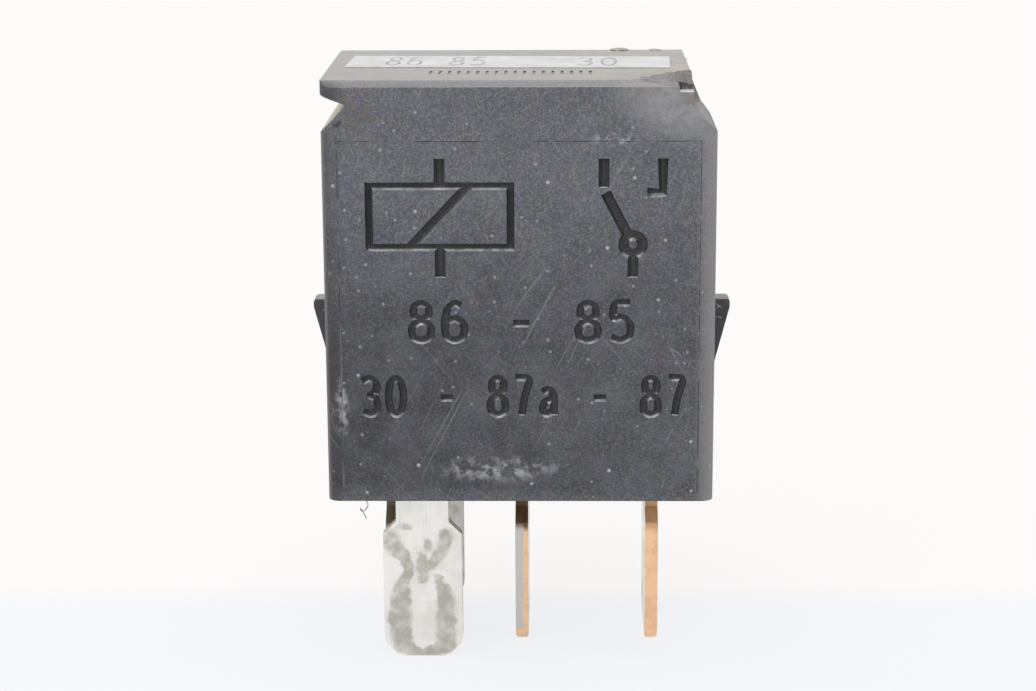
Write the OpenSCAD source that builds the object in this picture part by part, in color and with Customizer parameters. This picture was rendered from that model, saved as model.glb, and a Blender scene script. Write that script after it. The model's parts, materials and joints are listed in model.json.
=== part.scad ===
// Micro-size automotive changeover relay with five blade terminals.
// Origin: centre of the blade tips. X runs along the long side, the front is -Y, +Z is up.
// The relay stands on its blade tips. It is drawn with the coil off.

/* [Case] */
// Length of the case along X
case_w = 22.9; // [20.5:0.1:28]
// Depth of the case along Y
case_d = 15.3; // [14.6:0.1:19]
// Height of the case, without the blades
case_h = 25.1; // [22:0.1:30]
// Thickness of the side walls
wall_t = 0.9; // [0.7:0.05:1.1]
// Thickness of the roof
roof_t = 1.2; // [0.9:0.05:1.6]
// Radius of the vertical edges
edge_r = 0.7; // [0.3:0.05:0.8]
// Bevel along the top edges of the long sides
top_bevel = 0.4; // [0.1:0.05:0.6]

/* [Grip lip and puller notches] */
// How deep the notch goes in from the side
notch_depth = 1.5; // [0.8:0.05:1.6]
// Thickness of the lip at its free end
lip_t = 0.85; // [0.4:0.05:0.9]
// How much the underside of the lip falls towards its root
lip_fall = 0.55; // [0.2:0.05:0.7]
// Height of the sloping shoulder under the notch
shoulder_h = 1.6; // [0.8:0.05:1.7]
// Length of lip that has broken off at the right, along the top
lip_break = 1.3; // [1:0.05:1.4]
// How much further out the broken face stands at the underside
break_slant = 0.3; // [0.15:0.05:0.4]
// Length of the chip along the front edge at the broken corner
chip_w = 3.3; // [1.5:0.1:4.5]
// Depth of the same chip from the front
chip_d = 4.2; // [2:0.1:6]
// Slope of the chip's broken face, in degrees
chip_slope = 10; // [5:1:25]
// Width of the small step left at the broken corner
step_w = 0.9; // [0.5:0.1:1.5]
// Depth of that step from the front
step_d = 1.15; // [0.6:0.05:2]
// How far that step lies below the roof
step_drop = 0.65; // [0.5:0.05:0.8]
// Wear of the right shoulder at its back end
shoulder_wear = 0.3; // [0.2:0.05:0.6]

/* [Latch ramps] */
// How far a ramp stands proud of the side
ramp_out = 1.3; // [0.8:0.1:2]
// Height of a ramp
ramp_h = 5.5; // [2.5:0.1:7]
// Width of a ramp along Y
ramp_w = 1.5; // [1:0.1:4]
// Height of the ramp's top above the bottom of the case
ramp_top = 10.8; // [8:0.1:14]

/* [Blades] */
// Length of the blades below the case
blade_l = 10.7; // [9:0.1:14]
// Thickness of the blades
blade_t = 0.8; // [0.7:0.05:0.95]
// Width of the two coil blades
coil_blade_w = 4.8; // [4.4:0.1:5.2]
// Width of the neck of a coil blade
coil_neck_w = 3.2; // [2.4:0.1:3.8]
// Width of the three load blades
load_blade_w = 6.3; // [5.4:0.1:6.6]
// Width of the neck of a load blade
load_neck_w = 4.4; // [3.4:0.1:4.8]
// Distance of the coil blades from the middle along X
coil_blade_x = 6; // [5.8:0.05:6.3]
// Distance of the coil blades from the middle along Y
coil_blade_y = 5; // [4.85:0.05:5.3]
// How much nearer to the side the rear coil blade stands than the front one
rear_blade_set = 0.3; // [0:0.05:0.35]
// Distance of the outer load blades from the middle
load_blade_x = 8; // [7.8:0.05:8.3]
// Length of the neck below the case
neck_l = 2; // [0.8:0.1:2.4]
// Height of the sloping blade shoulders
blade_shoulder = 0.8; // [0.4:0.1:1.2]
// Bevel at the blade tips
tip_bevel = 1; // [0.5:0.05:1.3]

/* [Base] */
// How far the base sits up inside the case
base_recess = 0.3; // [0:0.05:0.6]
// Thickness of the base
base_t = 2.3; // [2.1:0.1:3]
// Height of the pads that carry the yoke
base_pad_h = 0.3; // [0.2:0.05:0.5]

/* [Magnet system] */
// Diameter of the core
core_d = 4.4; // [3.6:0.1:4.6]
// Diameter of the pole face
pole_d = 6.4; // [5:0.1:7]
// Thickness of the pole face
pole_t = 1; // [0.6:0.1:1.3]
// Thickness of the yoke
yoke_t = 1.4; // [1.1:0.05:1.5]
// Width of the yoke and the armature
yoke_w = 8; // [6.6:0.1:8.4]
// Thickness of the armature
armature_t = 1.2; // [0.9:0.05:1.4]
// Outer diameter of the winding
winding_d = 8.8; // [7.6:0.1:9]
// Wall of the bobbin
bobbin_wall = 0.6; // [0.4:0.05:0.7]
// Thickness of the bobbin flanges
flange_t = 0.8; // [0.6:0.05:1]
// Length of the winding
winding_h = 11.2; // [10:0.1:11.6]
// Travel of the armature when the coil pulls, in degrees
armature_travel = 2.4; // [1.8:0.1:3]

/* [Contacts] */
// Thickness of the leaf spring
spring_t = 0.3; // [0.2:0.02:0.4]
// Width of the leaf spring
spring_w = 5; // [4:0.1:6]
// Diameter of the contacts
contact_d = 2.6; // [2:0.1:3.2]
// Height of a contact head
contact_h = 0.55; // [0.4:0.05:0.7]
// Distance of the contacts from the middle along X
contact_x = 6.2; // [5.8:0.1:6.5]
// Gap left between contacts that press together
contact_gap = 0.04; // [0.02:0.01:0.1]
// Width of the riser of the break terminal
riser_w = 2.6; // [2:0.1:2.8]

/* [Suppression resistor] */
// Diameter of the resistor
resistor_d = 2.3; // [1.6:0.1:2.4]
// Length of the resistor
resistor_l = 6.3; // [4:0.1:7]
// Diameter of its leads
lead_d = 0.5; // [0.4:0.05:0.6]

/* [Label] */
// Length of the label along X
label_w = 19.4; // [12:0.1:19.6]
// Depth of the label along Y
label_d = 5.4; // [3:0.1:8]
// Turn of the label, which is stuck on a little askew, in degrees
label_turn = -2; // [-4:0.5:4]
// Thickness of the label
label_t = 0.06; // [0.05:0.01:0.1]

/* [Hidden] */
$fn = 48;

eps = 0.5;                                   // overshoot of cuts
fit = 0.05;                                  // clearance round fitted pieces
seat = 0.05;                                 // air gap of the closed magnet

// Heights
case_z = blade_l;                            // bottom of the case
top_z = case_z + case_h;
shoulder_z = top_z - lip_t - lip_fall - shoulder_h;
notch_z = top_z - lip_t - lip_fall;          // inner corner of the notch
base_z = case_z + base_recess;
base_top = base_z + base_t;
yoke_z = base_top + base_pad_h;
flange_z = yoke_z + yoke_t;
winding_z = flange_z + flange_t;
upper_flange_z = winding_z + winding_h;
pole_z = upper_flange_z + flange_t;
hinge_z = pole_z + pole_t;                   // pole face and top of the yoke

// Places along X and Y
inner_w = case_w - 2 * wall_t;
inner_d = case_d - 2 * wall_t;
yoke_x = -load_blade_x + blade_t / 2;        // outer face of the yoke
coil_gap = 0.5;                              // between the yoke's leg and the winding
core_x = yoke_x + yoke_t + coil_gap + winding_d / 2;
core_bore = core_d + 2 * fit;
hub_d = core_bore + 2 * bobbin_wall;
flange_rim = 0.4;                            // flange beyond the winding, and the posts
flange_w = winding_d + 2 * flange_rim;       // along X
flange_d = 2 * (coil_blade_y + blade_t / 2) + flange_rim;
staked_d = 3;                                // staked end of the core
yoke_end_x = core_x + winding_d / 2 + 0.2;

// Wire posts of the coil blades
post_w = 1;
post_h = 4.4;
rear_blade_x = -coil_blade_x - rear_blade_set;
post_x = rear_blade_x + coil_neck_w / 2 - post_w / 2;
post_z = base_top - 1;

// Armature and contacts, as they lie with the magnet closed
armature_z = hinge_z + seat;
armature_x = core_x + pole_d / 2 + 1.1;      // free end
spring_z = armature_z + armature_t;
contact_rim = 0.3;                           // strip left round a contact
spring_end_x = contact_x + contact_d / 2 + contact_rim;
spring_leg = 6;                              // length of its leg beside the yoke
rivet_x = core_x + 1.6;
rivet_y = 1.4;
rivet_d = 1;
rivet_head_d = 1.8;
rivet_head_h = 0.35;

// Fixed contacts: the open one meets the moving contact with the magnet closed, and the
// closed one meets it with the armature released
lever = contact_x - yoke_x;
open_face_z = spring_z - contact_h - contact_gap;
arm_open_z = open_face_z - contact_h - blade_t;
closed_top = spring_z + spring_t + contact_h - hinge_z;
closed_face_z = hinge_z + lever * sin(armature_travel)
    + closed_top * cos(armature_travel)
    + contact_d / 2 * sin(armature_travel) + contact_gap;
arm_closed_z = closed_face_z + contact_h;
arm_inner_x = contact_x - contact_d / 2 - contact_rim;
arm_half = contact_d / 2 + contact_rim;      // half the width of a contact arm

// Riser of the break terminal, beside the make terminal
strip_gap = 0.6;                             // air between two current paths
riser_x = load_blade_x + blade_t / 2 + strip_gap;
riser_y = load_neck_w / 2 + strip_gap;
run_z = base_top - 0.2 - blade_t;            // its run through the base

// The common blade's stub lies on the yoke's leg for this length
stub_l = 4;

// Resistor and its leads
resistor_x = core_x + flange_w / 2 + strip_gap + resistor_d / 2;
resistor_z = winding_z + resistor_d / 2;
resistor_cap_l = 1.6;
lead_gap = 0.15;                             // between a lead and the flanges
lead_y = flange_d / 2 + lead_gap + lead_d / 2;

// Label: how far its middle lies off the middle of the roof
label_x = -0.7;
label_y = 0.85;

// Box from its lowest corner to its highest corner
module block(low, high) {
    translate(low) cube(high - low);
}

// Outline in X and Z carried through a depth that is centred on Y
module through_depth(depth) {
    rotate([90, 0, 0]) linear_extrude(depth, center = true) children();
}

// Rectangle with round corners
module rounded_plan(w, d, r) {
    square([w - 2 * r, d], center = true);
    square([w, d - 2 * r], center = true);
    for (x = [-1, 1], y = [-1, 1])
        translate([x * (w / 2 - r), y * (d / 2 - r)]) circle(r);
}

// Notch on the left side; the lip stays above it
module notch_outline() {
    side = -case_w / 2;
    polygon([
        [side - eps, shoulder_z - eps], [side, shoulder_z],
        [side + notch_depth, notch_z],
        [side, notch_z + lip_fall], [side - eps, notch_z + lip_fall],
    ]);
}

// Bevel along the top edge of one long side
module top_edge_cut() {
    translate([0, -case_d / 2, top_z]) rotate([45, 0, 0])
        cube([case_w + 2 * eps, top_bevel * sqrt(2), top_bevel * sqrt(2)], center = true);
}

// Inside of the case; its roof is drawn in to clear the notches
module case_cavity() {
    top_half = case_w / 2 - notch_depth - wall_t;
    corner_z = shoulder_z - wall_t / 2;
    through_depth(inner_d)
        polygon([
            [-inner_w / 2, case_z - eps], [inner_w / 2, case_z - eps],
            [inner_w / 2, corner_z], [top_half, notch_z - wall_t / 2],
            [top_half, top_z - roof_t], [-top_half, top_z - roof_t],
            [-top_half, notch_z - wall_t / 2], [-inner_w / 2, corner_z],
        ]);
}

// Latch ramp on the right side: slopes out from below and ends in a flat top
module latch_ramp() {
    ramp_land = 0.5;
    ramp_nose = 0.15;
    side = case_w / 2;
    z = case_z + ramp_top;
    through_depth(ramp_w)
        polygon([
            [side - wall_t / 2, z - ramp_h], [side, z - ramp_h],
            [side + ramp_out, z - ramp_land], [side + ramp_out, z - ramp_nose],
            [side + ramp_out - ramp_nose, z], [side - wall_t / 2, z],
        ]);
}

// Material lost at the right: the lip's end, the corner chip and the worn shoulder
module damage() {
    lip_end = case_w / 2 - lip_break;
    out = case_w / 2 + eps;
    through_depth(case_d + 2 * eps)
        polygon([
            [lip_end, top_z + eps], [lip_end, top_z], [lip_end + break_slant, notch_z],
            [out, notch_z], [out, top_z + eps],
        ]);
    // Chip that slopes from the top face down to the front of the lip
    reach = case_d;
    translate([lip_end, -case_d / 2 + chip_d, top_z])
        rotate([0, 0, atan2(chip_d, chip_w)]) rotate([chip_slope, 0, 0])
            translate([-reach, -reach, 0]) cube([2 * reach, reach, reach / 2]);
    // Step at the corner, where the break goes deeper
    block([lip_end - step_w, -case_d / 2 - eps, top_z - step_drop],
          [out, -case_d / 2 + step_d, top_z + eps]);
    // Shoulder worn down towards the back; the lip's root is clear of it
    wear_angle = atan2(shoulder_wear, case_d / 2);
    slope_l = norm([notch_depth, shoulder_h]);
    translate([case_w / 2, 0, shoulder_z])
        rotate([-wear_angle, atan2(shoulder_h, notch_depth), 0])
            translate([-slope_l + 0.1, 0, 0]) cube([slope_l + 1, case_d, 1.2]);
}

module cover() {
    color("#3b3c42") difference() {
        union() {
            difference() {
                translate([0, 0, case_z]) linear_extrude(case_h)
                    rounded_plan(case_w, case_d, edge_r);
                through_depth(case_d + 2 * eps) notch_outline();
                mirror([1, 0, 0]) through_depth(case_d + 2 * eps) notch_outline();
                top_edge_cut();
                mirror([0, 1, 0]) top_edge_cut();
                damage();
            }
            latch_ramp();
            mirror([1, 0, 0]) latch_ramp();
        }
        case_cavity();
    }
}

// Thin label on the roof, clear of the chipped corner
module top_label() {
    color("#e9e9ee") translate([label_x, label_y, top_z + label_t / 2])
        rotate([0, 0, label_turn]) cube([label_w, label_d, label_t], center = true);
}

// Flat blade outline: X is its width, Y runs up from the tip
module blade_outline(w, neck_w, top) {
    neck_z = case_z - neck_l;
    shoulder = neck_z - blade_shoulder;
    polygon([
        [-w / 2 + tip_bevel, 0], [w / 2 - tip_bevel, 0], [w / 2, tip_bevel],
        [w / 2, shoulder], [neck_w / 2, neck_z], [neck_w / 2, top],
        [-neck_w / 2, top], [-neck_w / 2, neck_z], [-w / 2, shoulder],
        [-w / 2, tip_bevel],
    ]);
}

// Load blade: its flat sides face along X
module load_blade(x, top) {
    translate([x, 0, 0]) rotate([90, 0, 90])
        linear_extrude(blade_t, center = true)
            blade_outline(load_blade_w, load_neck_w, top);
}

// Coil blade: its flat sides face along Y; a narrow wire post stands on its neck
module coil_blade(x, y) {
    translate([0, y, 0]) rotate([90, 0, 0]) linear_extrude(blade_t, center = true) union() {
        translate([x, 0]) blade_outline(coil_blade_w, coil_neck_w, post_z);
        translate([post_x - post_w / 2, post_z - eps])
            square([post_w, base_top + post_h - post_z + eps]);
    }
}

module terminal_85() {
    color("#c9c6bd") coil_blade(-coil_blade_x, -coil_blade_y);
}

module terminal_86() {
    color("#c9c6bd") coil_blade(rear_blade_x, coil_blade_y);
}

// The common blade runs up flat against the yoke
module terminal_30() {
    color("#c9c6bd") load_blade(-load_blade_x, yoke_z + stub_l);
}

// Hole in an arm for the shank of a fixed contact
module contact_hole() {
    translate([contact_x, 0, 0]) cylinder(h = top_z, d = contact_d / 2);
}

// The make blade rises beside the coil and bends in under the moving contact
module terminal_87() {
    color("#c9c6bd") difference() {
        union() {
            load_blade(load_blade_x, arm_open_z + blade_t);
            block([arm_inner_x, -arm_half, arm_open_z],
                [load_blade_x, arm_half, arm_open_z + blade_t]);
        }
        translate([0, 0, base_top]) contact_hole();
    }
}

// Run of the break terminal through the base, grown by a clearance
module break_run(gap) {
    block([-blade_t / 2 - gap, -load_neck_w / 2 - gap, run_z - gap],
        [blade_t * 2 + gap, riser_y + riser_w + gap, run_z + blade_t + gap]);
    block([-blade_t / 2 - gap, riser_y - gap, run_z - gap],
        [riser_x + blade_t + gap, riser_y + riser_w + gap, run_z + blade_t + gap]);
}

// The break blade turns aside in the base, rises at the side wall and bends in over
// the moving contact
module terminal_87a() {
    color("#c9c6bd") difference() {
        union() {
            load_blade(0, run_z + blade_t);
            break_run(0);
            block([riser_x, riser_y, run_z],
                [riser_x + blade_t, riser_y + riser_w, arm_closed_z + blade_t]);
            block([contact_x, riser_y, arm_closed_z],
                [riser_x + blade_t, riser_y + riser_w, arm_closed_z + blade_t]);
            block([arm_inner_x, -arm_half, arm_closed_z],
                [contact_x + arm_half, riser_y + riser_w, arm_closed_z + blade_t]);
        }
        translate([0, 0, base_top]) contact_hole();
    }
}

// Slot in the base for a neck; w_x and w_y are the neck's own size
module neck_slot(x, y, w_x, w_y) {
    block([x - w_x / 2 - fit, y - w_y / 2 - fit, base_z - eps],
        [x + w_x / 2 + fit, y + w_y / 2 + fit, base_top + 3]);
}

module base() {
    pad_l = 1.6;
    pad_x = 3;
    cheek_l = 2;
    cheek_t = 0.6;
    cheek_x = core_x - cheek_l / 2;
    color("#4a4b50") difference() {
        union() {
            block([-inner_w / 2 + fit, -inner_d / 2 + fit, base_z],
                [inner_w / 2 - fit, inner_d / 2 - fit, base_top]);
            // Pads under the yoke, and cheeks that keep it from turning
            for (x = [core_x - pad_x, core_x + pad_x])
                block([x - pad_l / 2, -yoke_w / 2 - fit - cheek_t, base_top - eps],
                    [x + pad_l / 2, yoke_w / 2 + fit + cheek_t, yoke_z]);
            for (side = [-1, 1]) translate([0, side * (yoke_w / 2 + fit + cheek_t / 2), 0])
                block([cheek_x - cheek_l / 2, -cheek_t / 2, base_top - eps],
                    [cheek_x + cheek_l / 2, cheek_t / 2, yoke_z + yoke_t]);
        }
        neck_slot(-coil_blade_x, -coil_blade_y, coil_neck_w, blade_t);
        neck_slot(rear_blade_x, coil_blade_y, coil_neck_w, blade_t);
        for (x = [-load_blade_x, 0, load_blade_x]) neck_slot(x, 0, blade_t, load_neck_w);
        break_run(fit);
        translate([0, 0, blade_t]) break_run(fit);
    }
}

module bobbin() {
    notch = post_w + 0.6;
    color("#2f6f56") difference() {
        union() {
            translate([core_x, 0, flange_z]) cylinder(h = pole_z - flange_z, d = hub_d);
            for (z = [flange_z, upper_flange_z])
                translate([core_x, 0, z + flange_t / 2])
                    cube([flange_w, flange_d, flange_t], center = true);
        }
        translate([core_x, 0, flange_z - eps])
            cylinder(h = pole_z - flange_z + 2 * eps, d = core_bore);
        // Room for the wire posts
        for (side = [-1, 1])
            translate([post_x, side * coil_blade_y, flange_z])
                cube([notch, blade_t + notch - post_w, 2 * flange_t + 0.2], center = true);
    }
}

// Straight round wire between two points
module rod(a, b, d) {
    v = b - a;
    len = norm(v);
    translate(a) rotate([0, acos(v[2] / len), atan2(v[1], v[0])]) cylinder(h = len, d = d);
}

// Winding with its two tails, each wrapped on its wire post
module coil_winding() {
    tail_d = 0.24;
    wrap_h = 0.6;
    wrap_z = resistor_z - lead_d / 2 - 0.2 - wrap_h;
    wrap_t = 0.2;
    color("#a4512a") union() {
        difference() {
            translate([core_x, 0, winding_z]) cylinder(h = winding_h, d = winding_d);
            translate([core_x, 0, winding_z - eps])
                cylinder(h = winding_h + 2 * eps, d = hub_d + 2 * fit);
        }
        for (side = [-1, 1]) {
            rod([core_x - 1.2, side * (winding_d / 2 - 0.5), wrap_z + wrap_h / 2],
                [post_x, side * (coil_blade_y - blade_t / 2 - wrap_t / 2),
                    wrap_z + wrap_h / 2], tail_d);
            difference() {
                translate([post_x, side * coil_blade_y, wrap_z + wrap_h / 2])
                    cube([post_w + 2 * wrap_t, blade_t + 2 * wrap_t, wrap_h], center = true);
                translate([post_x, side * coil_blade_y, wrap_z + wrap_h / 2])
                    cube([post_w, blade_t, wrap_h + eps], center = true);
            }
        }
    }
}

// Round core with a wide pole face, and a thin end that is staked into the yoke
module core() {
    color("#b9bcc2") union() {
        translate([core_x, 0, yoke_z]) cylinder(h = yoke_t + eps, d = staked_d);
        translate([core_x, 0, flange_z]) cylinder(h = pole_z - flange_z, d = core_d);
        translate([core_x, 0, pole_z]) cylinder(h = pole_t, d = pole_d);
    }
}

// L-shaped frame: a foot under the coil and a leg up its side
module yoke() {
    color("#aeb1b6") difference() {
        union() {
            block([yoke_x, -yoke_w / 2, yoke_z], [yoke_end_x, yoke_w / 2, yoke_z + yoke_t]);
            block([yoke_x, -yoke_w / 2, yoke_z], [yoke_x + yoke_t, yoke_w / 2, hinge_z]);
        }
        translate([core_x, 0, yoke_z - eps]) cylinder(h = yoke_t + 2 * eps, d = staked_d);
    }
}

// Turns its children from the closed magnet to the released position
module released() {
    translate([yoke_x, 0, hinge_z]) rotate([0, -armature_travel, 0])
        translate([-yoke_x, 0, -hinge_z]) children();
}

// Holes for the two armature rivets
module rivet_holes() {
    for (y = [-rivet_y, rivet_y])
        translate([rivet_x, y, hinge_z - 2]) cylinder(h = 6, d = rivet_d);
}

module armature() {
    color("#b4b7bd") released() difference() {
        block([yoke_x + fit, -yoke_w / 2, armature_z], [armature_x, yoke_w / 2, spring_z]);
        rivet_holes();
        // Countersink room under each rivet, so that it clears the pole face
        for (y = [-rivet_y, rivet_y])
            translate([rivet_x, y, armature_z - eps])
                cylinder(h = rivet_head_h + fit + eps, d = rivet_head_d);
    }
}

// One folded strip: its leg lies on the yoke, and its arm on the armature
module contact_spring() {
    bend = hinge_z + 0.4;
    color("#c98a4b") union() {
        released() difference() {
            block([yoke_x - spring_t, -spring_w / 2, spring_z],
                [spring_end_x, spring_w / 2, spring_z + spring_t]);
            rivet_holes();
            translate([contact_x, 0, spring_z - eps]) cylinder(h = 2, d = contact_d / 2);
        }
        released() block([yoke_x - spring_t, -spring_w / 2, bend],
            [yoke_x, spring_w / 2, spring_z + spring_t]);
        block([yoke_x - spring_t, -spring_w / 2, hinge_z - spring_leg],
            [yoke_x, spring_w / 2, bend + 0.1]);
    }
}

// Rivet through spring and armature, with a head at both ends
module armature_rivet(y) {
    color("#d0d2d6") released() translate([rivet_x, y, 0]) union() {
        translate([0, 0, armature_z + fit])
            cylinder(h = spring_z + spring_t - armature_z, d = rivet_d);
        translate([0, 0, armature_z + fit]) cylinder(h = rivet_head_h, d = rivet_head_d);
        translate([0, 0, spring_z + spring_t]) cylinder(h = rivet_head_h, d = rivet_head_d);
    }
}

module moving_contact() {
    color("#d8d9dc") released() translate([contact_x, 0, 0]) union() {
        translate([0, 0, spring_z - contact_h]) cylinder(h = contact_h, d = contact_d);
        translate([0, 0, spring_z - fit]) cylinder(h = spring_t + 2 * fit, d = contact_d / 2);
        translate([0, 0, spring_z + spring_t]) cylinder(h = contact_h, d = contact_d);
    }
}

// Fixed contact rivet: z is the arm's face, and side is the way its head points
module fixed_contact(z, side) {
    translate([contact_x, 0, z]) mirror([0, 0, side < 0 ? 1 : 0]) union() {
        cylinder(h = contact_h, d = contact_d);
        translate([0, 0, -blade_t]) cylinder(h = blade_t + fit, d = contact_d / 2);
    }
}

module fixed_contact_open() {
    color("#d8d9dc") fixed_contact(arm_open_z + blade_t, 1);
}

module fixed_contact_closed() {
    color("#d8d9dc") fixed_contact(arm_closed_z, -1);
}

module suppression_resistor() {
    color("#5f8aa8") translate([resistor_x, 0, resistor_z]) rotate([90, 0, 0]) union() {
        cylinder(h = resistor_l - resistor_cap_l, d = resistor_d * 0.86, center = true);
        for (side = [-1, 1]) translate([0, 0, side * (resistor_l - resistor_cap_l) / 2])
            cylinder(h = resistor_cap_l, d = resistor_d, center = true);
    }
}

// Lead from one end of the resistor, past the bobbin, to a wire post
module resistor_lead(side) {
    run = [
        [resistor_x, side * resistor_l / 2, resistor_z],
        [resistor_x, side * lead_y, resistor_z],
        [post_x, side * lead_y, resistor_z],
        [post_x, side * (coil_blade_y + blade_t / 2), resistor_z],
    ];
    color("#cfd0d2") union() {
        for (i = [0:len(run) - 2]) rod(run[i], run[i + 1], lead_d);
        for (i = [1:len(run) - 2]) translate(run[i]) sphere(d = lead_d);
    }
}

cover();
top_label();
base();
terminal_30();
terminal_85();
terminal_86();
terminal_87();
terminal_87a();
bobbin();
coil_winding();
core();
yoke();
armature();
contact_spring();
armature_rivet(-rivet_y);  // armature_rivet_front
armature_rivet(rivet_y);  // armature_rivet_rear
moving_contact();
fixed_contact_open();
fixed_contact_closed();
suppression_resistor();
resistor_lead(-1);  // resistor_lead_85
resistor_lead(1);  // resistor_lead_86
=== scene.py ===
# %% [markdown]
# # A used automotive relay, standing on its blades
#
# This lesson dresses a small plug-in relay. The CAD model already gives every piece its
# size and place, so nothing is moved here. Each step copies a piece's exact mesh, softens
# its edges the way its real making does, and gives it a finish built from shader nodes.
# Lengths are written in millimetres, and turned to metres where a shape is placed.

import contextlib
import json
import math

import bmesh
import bpy
from mathutils import Matrix, Vector, noise


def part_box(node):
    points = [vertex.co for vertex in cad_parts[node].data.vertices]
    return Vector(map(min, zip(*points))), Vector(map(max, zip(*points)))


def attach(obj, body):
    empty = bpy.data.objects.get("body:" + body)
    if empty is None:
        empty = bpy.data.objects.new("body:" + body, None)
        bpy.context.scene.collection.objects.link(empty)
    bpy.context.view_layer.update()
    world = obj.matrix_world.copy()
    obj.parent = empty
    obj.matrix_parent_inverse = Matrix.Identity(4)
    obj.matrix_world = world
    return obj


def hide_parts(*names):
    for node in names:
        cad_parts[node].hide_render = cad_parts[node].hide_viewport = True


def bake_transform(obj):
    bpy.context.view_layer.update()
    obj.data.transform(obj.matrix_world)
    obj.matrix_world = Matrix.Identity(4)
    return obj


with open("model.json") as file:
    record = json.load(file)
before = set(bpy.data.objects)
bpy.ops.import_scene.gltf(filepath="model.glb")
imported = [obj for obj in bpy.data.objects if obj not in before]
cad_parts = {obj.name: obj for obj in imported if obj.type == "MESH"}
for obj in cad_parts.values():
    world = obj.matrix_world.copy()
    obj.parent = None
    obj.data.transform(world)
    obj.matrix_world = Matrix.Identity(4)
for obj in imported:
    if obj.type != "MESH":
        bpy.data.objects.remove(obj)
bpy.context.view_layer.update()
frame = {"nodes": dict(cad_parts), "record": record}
MM = 0.001
print("CAD pieces:", len(frame["nodes"]))

# %% [markdown]
# ## Where things are
#
# Every place below is worked out from the boxes of the CAD pieces. If the relay changes
# size, the markings, the damage and the camera follow it.


# %% Places on the relay
def box_mm(node):
    """Lowest and highest corner of a CAD piece."""
    low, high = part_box(node)
    return low / MM, high / MM


def shift(x, y, z):
    """A move, as a matrix."""
    return Matrix.Translation(Vector((x, y, z)) * MM)


def turn(degrees, axis):
    """A turn about an axis, as a matrix."""
    return Matrix.Rotation(math.radians(degrees), 4, axis)


def link(name, data):
    """A new object that shows this mesh, curve, lamp or camera."""
    thing = bpy.data.objects.new(name, data)
    bpy.context.scene.collection.objects.link(thing)
    return thing


case_low, case_high = box_mm("cover")
rim, roof = case_low.z, case_high.z
front, back = case_low.y, case_high.y
RAMP_OUT = 1.3                            # the latch ramps stand this far proud
side = case_high.x - RAMP_OUT             # right side of the case, without the ramp
print(f"case {2 * side:.1f} x {back - front:.1f} x {roof - rim:.1f} mm")

# %% [markdown]
# ## The camera
#
# A relay is small, so it is viewed with a long lens from close by. That keeps the sides
# nearly parallel and still shows that the top is nearer than the blades. The lens looks
# slightly down, which opens the roof and the sloping puller notches.

# %% Camera
LENS_MM = 84.13
YAW, PITCH, ROLL = -1.027, 13.67, -0.274  # degrees; pitch is how far it looks down


def place_camera():
    """Adds the camera, at a height that is counted from the case's rim."""
    data = bpy.data.cameras.new("camera")
    data.lens = LENS_MM
    data.sensor_width = 36.0
    data.clip_start = 0.01
    camera = link("camera", data)
    camera.matrix_world = (shift(2.372, -145.459, 43.065 + rim) @ turn(-YAW, "Z")
                           @ turn(90 - PITCH, "X") @ turn(ROLL, "Z"))
    bpy.context.scene.camera = camera
    return camera


camera = place_camera()
bpy.context.scene.view_settings.view_transform = "Standard"
print("camera", [round(v, 4) for v in camera.location], "lens", LENS_MM)

# %% [markdown]
# ## Colours and one node helper
#
# Colours are written as sRGB hex, because that is what a colour picker shows, and one
# function turns them to the linear values that shaders work with. One helper adds a node
# with its settings and links, so a material reads as a list of what feeds what. Nodes go
# into the tree that was opened last, so the tree isn't named in every call.


# %% Colour and node helpers
def linear(hex_colour):
    """sRGB hex such as "4a4b50" to linear red, green, blue and alpha."""
    parts = [int(hex_colour[i:i + 2], 16) / 255 for i in (0, 2, 4)]
    parts = [c / 12.92 if c <= 0.04045 else ((c + 0.055) / 1.055) ** 2.4 for c in parts]
    return (*parts, 1.0)


def open_tree(holder):
    """Empties the nodes of a material or world, and makes them the tree to work on."""
    global tree
    holder.use_nodes = True
    tree = holder.node_tree
    tree.nodes.clear()


def add(kind, inputs=None, **settings):
    """Adds a node. An input is a value, a hex colour, or another node's socket to link."""
    node = tree.nodes.new("ShaderNode" + kind)
    for name, value in settings.items():
        setattr(node, name, value)
    for name, value in (inputs or {}).items():
        if isinstance(value, bpy.types.NodeSocket):
            tree.links.new(value, node.inputs[name])
        else:
            node.inputs[name].default_value = linear(value) if isinstance(value, str) else value
    return node


def calc(operation, *values):
    """One step of arithmetic on values or sockets."""
    return add("Math", dict(enumerate(values)), operation=operation).outputs[0]


def times(first, *others):
    """Product of values or sockets."""
    for other in others:
        first = calc("MULTIPLY", first, other)
    return first


def larger(first, *others):
    """The largest of some values or sockets."""
    for other in others:
        first = calc("MAXIMUM", first, other)
    return first


def stretched(place, factors):
    """A place, multiplied along each axis by its own factor."""
    return add("VectorMath", {0: place, 1: factors}, operation="MULTIPLY").outputs[0]


def length(place):
    """Distance of a place from the origin."""
    return add("VectorMath", {0: place}, operation="LENGTH").outputs["Value"]


def along(place, axis):
    """One coordinate of a place."""
    return add("SeparateXYZ", {"Vector": place}).outputs[axis]


def ramp(factor, low, high, dark=0.0, light=1.0):
    """Stretches factor from low..high to dark..light, and clamps it."""
    return add("MapRange", {"Value": factor, "From Min": low, "From Max": high,
                            "To Min": dark, "To Max": light}).outputs["Result"]


def mix(factor, a, b, blend="MIX"):
    """Colour a where factor is 0, and colour b where it is 1."""
    return add("MixRGB", {"Fac": factor, "Color1": a, "Color2": b},
               blend_type=blend).outputs["Color"]


def grain(place, size, detail=3.0, rough=0.55):
    """Cloudy noise whose blotches are about this size."""
    return add("TexNoise", {"Vector": place, "Scale": 1 / size, "Detail": detail,
                            "Roughness": rough}).outputs["Fac"]


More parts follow.
